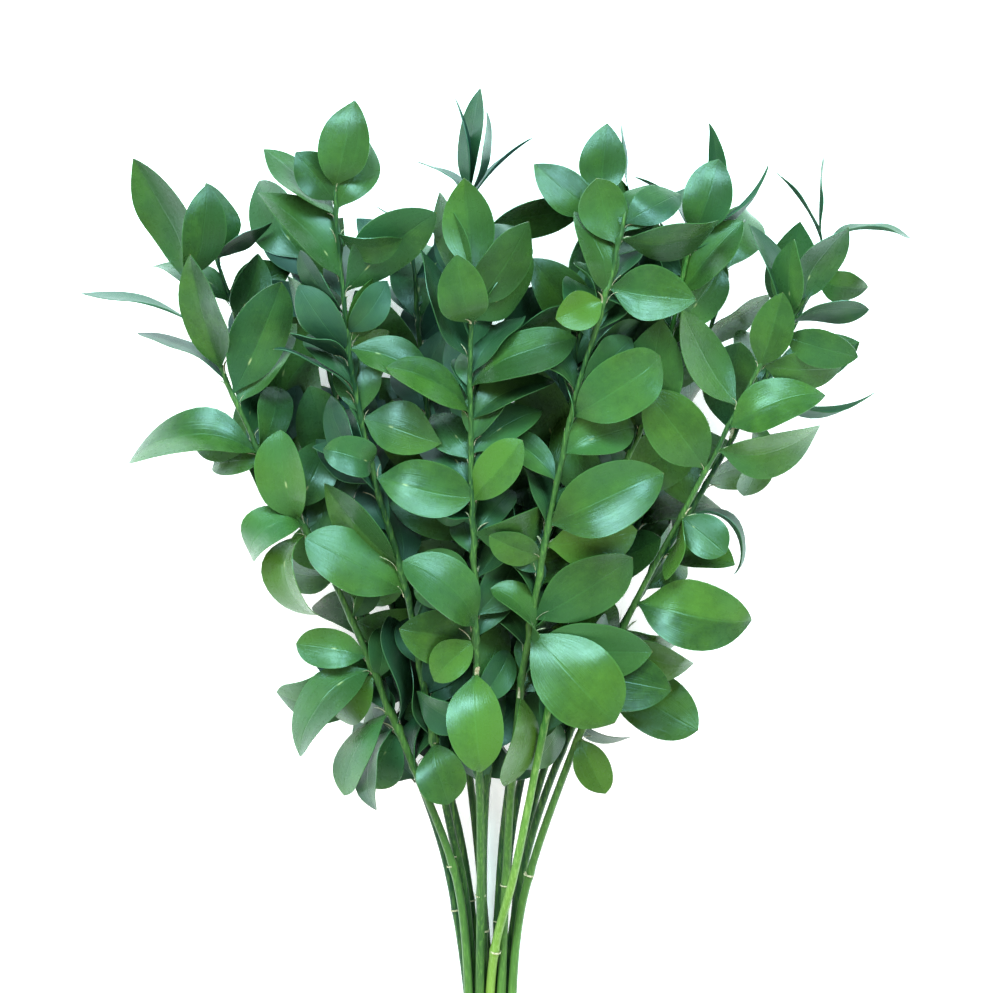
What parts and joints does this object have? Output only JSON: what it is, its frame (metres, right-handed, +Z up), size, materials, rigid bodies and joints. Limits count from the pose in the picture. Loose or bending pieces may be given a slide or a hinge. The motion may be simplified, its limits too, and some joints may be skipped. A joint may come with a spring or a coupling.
{
  "type": "bunch of ruscus stems",
  "caption": "Cut bunch of leafy ruscus stems that fan out from one elastic tie, lying on its side, for use as foliage in a vase or an arrangement.",
  "frame": {"origin": "middle of the lowest side of the bunch's box, on the surface it lies on", "axes": "+Y from the cut ends to the leaf tips, +X to the right of the fan, +Z up from the surface it lies on"},
  "size_m": [0.4982, 0.6536, 0.1665],
  "materials": {
    "leafy_stem": "glossy deep green leaves on smooth green canes",
    "tie": "matt tan elastic band"
  },
  "bodies": {
    "root": {"stem_centre": "leafy_stem", "stem_centre_right": "leafy_stem", "stem_right": "leafy_stem", "stem_left": "leafy_stem", "stem_centre_left": "leafy_stem", "stem_lime": "leafy_stem", "stem_far_right": "leafy_stem", "stem_high": "leafy_stem", "stem_high_right": "leafy_stem", "stem_low_left": "leafy_stem", "stem_low_centre_left": "leafy_stem", "stem_low_centre": "leafy_stem", "stem_low_centre_right": "leafy_stem", "stem_low_right": "leafy_stem", "tie": "tie"}
  },
  "joints": []
}
